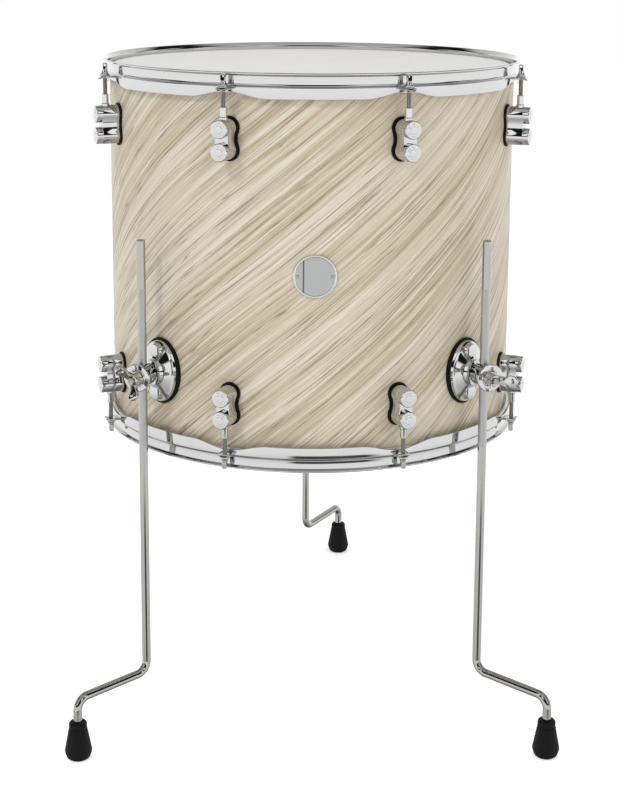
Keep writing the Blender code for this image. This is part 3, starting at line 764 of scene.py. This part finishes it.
def lug_mesh():
    """x out from the drum's axis and z up from the lug's middle; the rod enters at the top."""
    end = LUG_BODY_END
    levels = [(0.0, LUG_BASE), (0.0, end - 0.0008), (0.0002, end - 0.0003)]
    levels += [(0.0006, end), (0.0030, end + 0.0001)]
    body = lofted(lug_outline(), levels, along_x())
    r, tip = TURRET_R, TURRET_END
    turret = rounded(
        [
            (r + 0.0001, LUG_BASE + 0.004, 0),
            (r, end - 0.001, 0),
            (r, tip - 0.0010, 0.0007),
            (r - 0.0007, tip - 0.0003, 0.0004),
            (0.0064, tip - 0.0003, 0.0001),
            (0.0061, tip - 0.0002, 0.0001),
            (0.0041, tip - 0.0002, 0.0001),
            (0.0038, tip, 0.0001),
            (0.0, tip, 0),
        ],
        0.0003,
    )
    half = TURRET_SPACING / 2
    turrets = [turned(turret, 64, along_x(0.0, 0.0, z), angle=40) for z in (half, -half)]
    return joined(body, *turrets)


def gasket_mesh(outline, front, lip=0.0005):
    """A rubber pad whose back follows the round of the shell."""
    levels = [(0.0006, 0.0), (0.0, 0.4), (0.0, 0.8), (lip, 1.0), (lip + 0.002, 1.0)]
    mesh = lofted(outline, levels, angle=50)
    for vertex in mesh.vertices:
        up, across, share = vertex.co
        back = math.sqrt(WRAP_R**2 - across**2) + 0.0001
        vertex.co = (back + (front - back) * share, across, -up)
    return mesh


def thread(radius, low, high, steps=20, per_turn=5):
    """A threaded shank along z, from low to high, its crests and roots winding round it."""
    depth = THREAD_PITCH * 0.5
    rows = int((high - low) / THREAD_PITCH * per_turn)
    z, turn = np.meshgrid(np.linspace(low, high, rows), np.arange(steps) / steps, indexing="ij")
    phase = np.abs(((z / THREAD_PITCH - turn) % 1) * 2 - 1)
    r = radius - depth * (1 - np.clip(phase * 1.5, 0, 1))
    angle = turn * 2 * np.pi
    points = np.stack([r * np.cos(angle), r * np.sin(angle), z], axis=-1)
    caps = [np.tile((0.0, 0.0, level), (1, steps, 1)) for level in (low, high)]
    return grid_mesh(np.concatenate([caps[0], points, caps[1]]), angle=60)


def rod_meshes():
    """The threaded shank, and the plated head with its collar. z is up the rod from the ear's top face."""
    shank = thread(ROD_R, -ROD_LENGTH, WASHER + 0.0010)
    low = WASHER + 0.0002
    collar = turned(
        rounded(
            [
                (0.0, low, 0),
                (ROD_COLLAR_R, low, 0.0002),
                (ROD_COLLAR_R, low + 0.0008, 0.0005),
                (0.0034, low + 0.0022, 0.0030),
                (0.0027, low + 0.0056, 0.0020),
                (0.0, low + 0.0060, 0),
            ],
            0.0003,
        ),
        32,
        angle=50,
    )
    half = ROD_HEAD_HALF
    square = rounded([(half, half), (-half, half), (-half, -half), (half, -half)], 0.0008, closed=True)
    top = ROD_HEAD_TOP
    levels = [(0.0, ROD_COLLAR_TOP - 0.001), (0.0, top - 0.0012), (0.0004, top - 0.0004), (0.0011, top)]
    head = lofted(square, levels)
    return shank, joined(collar, head)


def sleeve_mesh():
    """The swivel nut's sleeve, from its collar at the lug up to its end at z = SLEEVE_LENGTH."""
    end, collar = SLEEVE_LENGTH, SLEEVE_R + 0.0008
    profile = [(ROD_R + 0.0001, end), (SLEEVE_R, end, 0.0005), (SLEEVE_R, 0.0022, 0.0005)]
    profile += [(collar, 0.0018, 0.0004), (collar, -0.002)]
    return turned(rounded(profile, 0.0004), 32)


def washer_mesh():
    section = [(ROD_R, 0.0), (WASHER_R, 0.0), (WASHER_R, WASHER), (ROD_R, WASHER)]
    return turned(rounded(section, 0.0004, closed=True), 32, closed=True)


def make_lugs_and_rods():
    """Eight lugs and rods for each head. A rod's z is 0 on the ear's top face and points out of the drum."""
    lug = lug_mesh()
    pad = gasket_mesh(lug_outline(LUG_PAD_MARGIN), LUG_BASE)
    shank, head = rod_meshes()
    sleeve, washer = sleeve_mesh(), washer_mesh()
    lug_drop = TURRET_DROP + TURRET_SPACING / 2
    down = Matrix.Translation((0, 0, EAR_DROP - SLEEVE_TOP_DROP - SLEEVE_LENGTH))
    for number, azimuth in enumerate(LUG_AZIMUTHS, 1):
        for name, lip, inward in (("batter", HIGH_LIP, -1), ("resonant", LOW_LIP, 1)):
            flip = name == "resonant"
            tag = f"{name}_{number}"
            place = at_azimuth(azimuth, lip + inward * lug_drop, flip)
            piece(f"lug_casting_{tag}", lug, CHROME, "drum", [f"{name}_lug_{number}"], place)
            piece(f"lug_pad_{tag}", pad, GASKET, "drum", (), place)
            rod = at_azimuth(azimuth, 0, flip) @ Matrix.Translation((ROD_CIRCLE_R, 0, 0))
            rod = Matrix.Translation((0, 0, lip + inward * EAR_DROP)) @ rod
            body = f"{name}_rod_{number}"
            piece(f"rod_thread_{tag}", shank, DARK_STEEL, body, [body], rod)
            piece(f"rod_head_{tag}", head, CHROME, body, (), rod)
            piece(f"rod_washer_{tag}", washer, STEEL, body, (), rod)
            piece(f"lug_sleeve_{tag}", sleeve, CHROME, "drum", (), rod @ down)


# Legs and feet


def leg_route():
    """Points down the leg's centre line, x along its run."""
    bend, height, run = LEG_BEND_R, LEG_RUN_HEIGHT, LEG_RUN
    route = [(0.0, z) for z in (LEG_TOP, KNURL_HIGH, KNURL_LOW, 0.2)]
    route += arc((bend, height + bend), bend, 180, 270, 15)
    route += arc((run - bend, height - bend), bend, 90, 0, 15)
    route.append((run, LEG_END))
    return np.array(route)


def leg_mesh(steps=40):
    """A round rod along the route, its upper end open like a tube."""
    route = leg_route()
    ahead = np.gradient(route, axis=0)
    ahead /= np.linalg.norm(ahead, axis=1)[:, None]
    lengths = np.concatenate([[0], np.cumsum(np.linalg.norm(np.diff(route, axis=0), axis=1))])
    bore, depth, edge = 0.0030, 0.012, 0.0006
    # Each ring: the route's point, how far above it, and the radius
    stations = [(0, -depth, 0.0), (0, -depth, bore), (0, -edge, bore), (0, 0.0, bore + 0.0004)]
    stations += [(0, 0.0, LEG_R - edge), (0, -0.0002, LEG_R - 0.0002)]
    stations += [(0, -edge, LEG_R), (0, -2 * edge, LEG_R)]
    stations += [(i, 0.0, LEG_R) for i in range(1, len(route))] + [(len(route) - 1, 0.0, 0.0)]
    turn = np.linspace(0, 2 * np.pi, steps + 1)
    side = np.array([0.0, 1.0, 0.0])
    rings, uv = [], []
    for i, lift, r in stations:
        centre = np.array([route[i, 0], 0.0, route[i, 1] + lift])
        front = np.array([-ahead[i, 1], 0.0, ahead[i, 0]])
        rings.append(centre + r * (np.outer(np.cos(turn), front) + np.outer(np.sin(turn), side)))
        uv.append(np.column_stack([turn / (2 * np.pi), np.full(steps + 1, LEG_TOP - lengths[i] + lift)]))
    return grid_mesh(np.stack(rings), close_columns=False, uv=np.stack(uv), angle=40)


def foot_mesh():
    """Rubber tip: a necked top, a body that widens downwards and a rounded sole, z up from the floor."""
    bore = LEG_R + 0.0002
    neck = FOOT_TOP_R
    profile = [
        (bore, LEG_END, 0),
        (bore, FOOT_TOP, 0.0003),
        (neck - 0.0014, FOOT_TOP, 0.0010),
        (neck, FOOT_TOP - 0.0018, 0.0010),
        (neck + 0.0001, FOOT_TOP - 0.0062, 0.0006),
        (neck - 0.0004, FOOT_TOP - 0.0069, 0.0004),
        (neck + 0.0004, FOOT_TOP - 0.0078, 0.0006),
        (FOOT_BASE_R, 0.0094, 0.0030),
        (FOOT_BASE_R - 0.0004, 0.0070, 0.0012),
        (FOOT_SOLE_R + 0.0026, 0.0020, 0.0030),
        (FOOT_SOLE_R, 0.0, 0.0010),
        (0.004, 0.0, 0),
        (0.0, 0.0, 0),
    ]
    return turned(rounded(profile, 0.0005), 64, angle=50)


def make_legs():
    """A leg and its foot at each leg's azimuth, the run turned from straight outwards by its own angle."""
    leg, foot = leg_mesh(), foot_mesh()
    for name, azimuth in LEG_AZIMUTHS.items():
        place = at_azimuth(azimuth) @ Matrix.Translation((LEG_CIRCLE_R, 0, 0))
        place = place @ Matrix.Rotation(math.radians(LEG_TURNS[name]), 4, "Z")
        piece("leg_rod_" + name, leg, LEG_ROD, "leg_" + name, ["leg_" + name], place)
        under = place @ Matrix.Translation((LEG_RUN, 0, 0))
        piece("foot_tip_" + name, foot, RUBBER, "leg_" + name, ["foot_" + name], under)


# Clamps


def bracket_meshes():
    """The upright oval dish with its round boss and two blank bosses, and its rubber pad. x is the radius."""
    back = DISH_BACK
    dish = [
        (0.0, back + 0.0106, 0),
        (BOSS_R + 0.0015, back + 0.0098, 0.002),
        (DISH_R - 0.0046, back + 0.0038, 0.0005),
        (DISH_R - 0.0040, back + 0.0036, 0.0003),
        (DISH_R - 0.0008, back + 0.0028, 0.0009),
        (DISH_R, back, 0),
        (0.0, back, 0),
    ]
    oval = Matrix.Diagonal((1.0, DISH_WIDTH, 1.0, 1.0))
    parts = [turned(rounded(dish, 0.0004, steps=6), 96, oval @ along_x(), angle=40)]
    boss = [
        (0.0, SEAT_END, 0),
        (SEAT_R, SEAT_END, 0.0006),
        (SEAT_R, BOSS_END, 0.0005),
        (BOSS_R, BOSS_END, 0.0016),
        (BOSS_R, back + 0.0122, 0.0020),
        (BOSS_R + 0.0016, back + 0.0090, 0),
    ]
    parts.append(turned(rounded(boss, 0.0004, steps=6), 72, along_x(), angle=40))
    r = SCREW_BOSS_R
    blank = [
        (r + 0.0016, back + 0.0010, 0),
        (r + 0.0004, back + 0.0060, 0.0010),
        (r, back + 0.0084, 0.0008),
        (r - 0.0012, back + 0.0086, 0.0006),
        (0.0, back + 0.0098, 0),
    ]
    for side in (1, -1):
        place = along_x(0, 0, side * SCREW_BOSS_HEIGHT)
        parts.append(turned(rounded(blank, 0.0006), 48, place, angle=30))
    count = 96
    ring = arc((0.0, 0.0), GASKET_R, 0, 360 - 360 / count, count)
    ring = [(x, y * GASKET_WIDTH) for x, y in ring]
    return joined(*parts), gasket_mesh(ring, back, 0.0008)


def eyebolt_mesh():
    """An eye round the leg, and a threaded stud out of it along x."""
    bore, half = LEG_R + GAP, EYE_HALF
    section = [(bore, half), (EYE_R, half), (EYE_R, -half), (bore, -half)]
    eye = turned(rounded(section, 0.0012, closed=True), 48, closed=True)
    stud = thread(STUD_R, (bore + EYE_R) / 2, STUD_END)
    stud.transform(along_x())
    return eye, stud


def cup_mesh():
    """The cup that straddles the eye, slotted from the back for the leg, with a ringed flange in front."""
    end, flange = CUP_END, CUP_FLANGE_R
    profile = [
        (STUD_R + 0.0004, end, 0),
        (0.0092, end, 0.0003),
        (0.0096, end - 0.0006, 0.0003),
        (flange - 0.0008, end - 0.0006, 0.0005),
        (flange, end - 0.0012, 0.0006),
        (flange, CUP_FLANGE_START + 0.0002, 0.0007),
        (CUP_R, CUP_FLANGE_START - 0.0010, 0.0008),
        (CUP_R, CUP_BACK, 0.0009),
        (CUP_CAVITY_R, CUP_BACK, 0.0005),
        (CUP_CAVITY_R, CUP_CAVITY_END, 0.0008),
        (STUD_R + 0.0004, CUP_CAVITY_END, 0),
    ]
    cup = turned(rounded(profile, 0.0004), 96, along_x(), closed=True)
    width = LEG_R + 0.0004
    slot = arc((0.0, 0.0), width, -90, 90, 25) + [(-0.03, width), (-0.03, -width)]
    return finished(cut(cup, lofted(slot, [(0.0, -0.02), (0.0, 0.02)])), 40)


def wing_outline():
    """One wing, from inside the hub over a waist to its rounded tip."""
    low = [(0.0035, -WING_ROOT, 0), (0.0095, -WING_ROOT * 0.84, 0.012), (0.0150, -WING_WAIST, 0.012)]
    end = arc((WING_LENGTH - WING_TIP_R, 0.0), WING_TIP_R, -115, 115, 31)
    high = [(x, -y, r) for x, y, r in reversed(low)]
    return rounded(low + [(x, y, 0) for x, y in end] + high, 0.0, closed=True, steps=6)


def wing_nut_meshes():
    """A tall hub and two waisted wings swept forward, with x along the stud."""
    bore, start, end, r = STUD_R + GAP, NUT_START, NUT_HUB_END, NUT_HUB_R
    profile = [
        (bore, end, 0),
        (r - 0.0008, end, 0.0008),
        (r, end - 0.0016, 0.001),
        (r + 0.0014, start + 0.0020, 0.002),
        (r + 0.0022, start, 0.0004),
        (bore, start, 0),
    ]
    hub = turned(rounded(profile, 0.0004), 48, along_x(), closed=True)
    t = WING_THICKNESS / 2
    levels = [(0.0, t * 0.4), (0.0006, t - 0.0002), (0.0016, t)]
    levels = [(distance, -height) for distance, height in reversed(levels)] + levels
    wings = []
    for side in (1, -1):
        root = Matrix.Translation((start + 0.0040, 0, 0))
        root = root @ Matrix.Rotation(math.radians(side * (90 - WING_SWEEP)), 4, "Z")
        flat = root @ Matrix.Rotation(math.radians(90), 4, "X")
        wing = lofted(wing_outline(), levels, flat, angle=50)
        hole = flat @ Matrix.Translation((WING_LENGTH - 0.0058, 0, 0))
        hole = hole @ Matrix.Diagonal((WING_HOLE_LENGTH, 1, 1, 1))
        eye = turned([(0, 0.01), (WING_HOLE_R, 0.01), (WING_HOLE_R, -0.01), (0, -0.01)], 32, hole)
        wings.append(finished(cut(wing, eye), 40))
    return joined(hub, *wings)


def make_clamps():
    """Bracket, eyebolt, cup and wing nut of each leg. A bolt may be turned from straight outwards."""
    dish, pad = bracket_meshes()
    eye, stud = eyebolt_mesh()
    cup, nut = cup_mesh(), wing_nut_meshes()
    for name, azimuth in LEG_AZIMUTHS.items():
        place = at_azimuth(azimuth, CLAMP_HEIGHT)
        piece("bracket_dish_" + name, dish, CHROME, "drum", ["bracket_" + name], place)
        piece("bracket_pad_" + name, pad, GASKET, "drum", (), place)
        axis = place @ Matrix.Translation((LEG_CIRCLE_R, 0, 0))
        axis = axis @ Matrix.Rotation(math.radians(CLAMP_TURNS[name]), 4, "Z")
        piece("clamp_eye_" + name, eye, CHROME, "drum", ["eyebolt_" + name], axis)
        piece("clamp_stud_" + name, stud, DARK_STEEL, "drum", (), axis)
        piece("clamp_shell_" + name, cup, CHROME, "clamp_" + name, ["clamp_cup_" + name], axis)
        wings = axis @ Matrix.Rotation(math.radians(WING_ANGLES[name]), 4, "X")
        piece("nut_wings_" + name, nut, CHROME, "wing_nut_" + name, ["wing_nut_" + name], wings)


# Badge


def make_badge():
    """A plain round plate bent to the shell, with a raised rim and two nails."""
    face, rim = BADGE_FACE, BADGE_RIM
    edge = [(BADGE_R * 0.90, face, 0.0004), (BADGE_R * 0.925, rim, 0.0003)]
    edge += [(BADGE_R, rim, 0.0006), (BADGE_R, 0.0)]
    middle = [(r, face) for r in np.linspace(0, BADGE_R * 0.8, 6)]
    plate = turned(middle + rounded([(0.0, face), *edge], 0.0003)[1:], 72, angle=40)
    nail = turned(rounded([(0.0, 0.0026), (0.0011, 0.0024, 0.0008), (0.0018, face)], 0.0006), 24)
    nails = joined(*[moved(nail, Matrix.Translation((side * NAIL_SPREAD, 0, 0))) for side in (1, -1)])
    seat = WRAP_R + GAP
    for mesh in (plate, nails):
        for vertex in mesh.vertices:
            across, up, out = vertex.co
            turn = across / seat
            vertex.co = ((seat + out) * math.cos(turn), (seat + out) * math.sin(turn), up)
    place = at_azimuth(0, DRUM_MIDDLE)
    piece("badge_disc", plate, BADGE_PLATE, "drum", ["badge"], place)
    piece("badge_nails", nails, STEEL, "drum", (), place)


# Floor, light and camera


def make_floor():
    """A wide white disc. Reflections leave it out, so metal sees the studio below the horizon too."""
    bpy.ops.mesh.primitive_circle_add(vertices=96, radius=60, fill_type="NGON")
    floor = bpy.context.object
    floor.name = "floor"
    material, nodes, shader = new_material("pale_floor", (0.93, 0.93, 0.93), 0.9)
    nodes.fill(shader, {"Specular IOR Level": 0.0, "Emission Color": rgba(1.0), "Emission Strength": 0.50})
    floor.data.materials.append(material)
    floor.visible_glossy = False


def reflected_studio(nodes):
    """What polished metal sees: white at the horizon, black above, pale boxes, a dark strip low in front."""
    direction = nodes.add("TexCoord").outputs["Generated"]
    x, y, z = nodes.add("SeparateXYZ", {"Vector": direction}).outputs
    aside = nodes.math("ARCTAN2", x, nodes.math("MULTIPLY", y, -1.0))
    aside = nodes.math("MULTIPLY", aside, 1 / math.pi)
    turn = nodes.math("ABSOLUTE", aside)  # 0 in front, 1 behind

    level = nodes.math("ADD", nodes.math("MULTIPLY", z, 0.5), 0.5)
    low = [(0.0, OLIVE), (0.10, 0.34), (0.22, 0.52), (0.29, 0.68), (0.34, 0.86), (0.44, 0.92)]
    front = nodes.ramp(level, low + [(0.52, 0.96), (0.55, 0.010), (0.86, 0.010), (0.90, 0.42)])
    back = nodes.ramp(level, low + [(0.55, 0.92), (0.66, 0.70), (0.80, 0.45), (1.0, 0.10)])
    sky = nodes.mix(nodes.ramp(turn, [(0.66, 0.0), (0.72, 1.0)]), front, back)

    lean = nodes.math("ADD", turn, nodes.math("MULTIPLY", z, 0.16))
    for start, end, bottom, top in LIGHT_BOXES:
        across = nodes.ramp(lean, [(start, 0.0), (start + 0.01, 1.0), (end, 1.0), (end + 0.01, 0.0)])
        upright = nodes.ramp(z, [(bottom, 0.0), (bottom + 0.01, 1.0), (top, 1.0), (top + 0.01, 0.0)])
        sky = nodes.mix(nodes.math("MULTIPLY", across, upright), sky, 0.98)

    # The strip stands below the horizon, from a little left of the front to well right of it
    drop = nodes.math("MULTIPLY", z, -1.0)
    upright = nodes.ramp(drop, [(0.335, 0.0), (0.345, 0.97), (0.410, 0.97), (0.440, 0.0)])
    place = nodes.math("ADD", aside, 0.5)
    across = nodes.ramp(place, [(0.42, 0.0), (0.45, 1.0), (0.67, 1.0), (0.73, 0.0)])
    return nodes.mix(nodes.math("MULTIPLY", upright, across), sky, 0.03)


def make_world():
    """White behind the drum, an even grey light on it, and a studio for reflections only."""
    world = bpy.data.worlds.new("studio")
    world.use_nodes = True
    world.cycles.sampling_method = "NONE"
    bpy.context.scene.world = world
    nodes = Nodes(world.node_tree)
    path = nodes.add("LightPath")
    sky = nodes.mix(path.outputs["Is Glossy Ray"], 0.42, reflected_studio(nodes))
    sky = nodes.mix(path.outputs["Is Camera Ray"], sky, 0.85)
    nodes.fill(world.node_tree.nodes["Background"], {"Color": sky, "Strength": 1.3})


def add_light(name, place, size, power):
    """A round soft light, in watts, aimed at the drum. It stays out of reflections."""
    data = bpy.data.lights.new(name, "AREA")
    data.shape = "DISK"
    data.size = size
    data.energy = power
    light = bpy.data.objects.new(name, data)
    bpy.context.scene.collection.objects.link(light)
    light.location = place
    light.rotation_euler = (LIGHT_TARGET - Vector(place)).to_track_quat("-Z", "Y").to_euler()
    light.visible_glossy = False


def make_camera():
    """The photograph's viewing angle: a long lens a little above the drum, its frame moved down to the feet.

    It stands at a distance and a height, turned round the drum, and is pitched and rolled, in radians.
    """
    data = bpy.data.cameras.new("camera")
    data.lens = 73.16
    data.sensor_width = 36
    data.shift_x = 0.00014
    data.shift_y = -0.20
    camera = bpy.data.objects.new("camera", data)
    bpy.context.scene.collection.objects.link(camera)
    distance, height, pitch, roll, turn = 1.8557, 0.8657, 0.18695, 0.00556, 0.02009
    place = (AXIS_X - distance * math.sin(turn), AXIS_Y - distance * math.cos(turn), height)
    aim = Euler((math.pi / 2 - pitch, 0.0, -turn)).to_matrix().to_4x4()
    camera.matrix_world = Matrix.Translation(place) @ aim @ Matrix.Rotation(roll, 4, "Z")
    bpy.context.scene.camera = camera


make_camera()
make_floor()
make_world()
add_light("key", (-1.7, -2.3, 2.9), 0.6, 29)
add_light("fill", (2.0, -2.4, 1.6), 2.4, 16)
add_light("overhead", (0, 0, 2.8), 2.0, 12)
bpy.context.scene.view_settings.view_transform = "Standard"

make_wrap()
make_shell()
make_vent()
make_head("batter", True, COATED)
make_head("resonant", False, CLEAR)
make_hoop("batter_hoop", True)
make_hoop("resonant_hoop", False)
make_lugs_and_rods()
make_legs()
make_clamps()
make_badge()
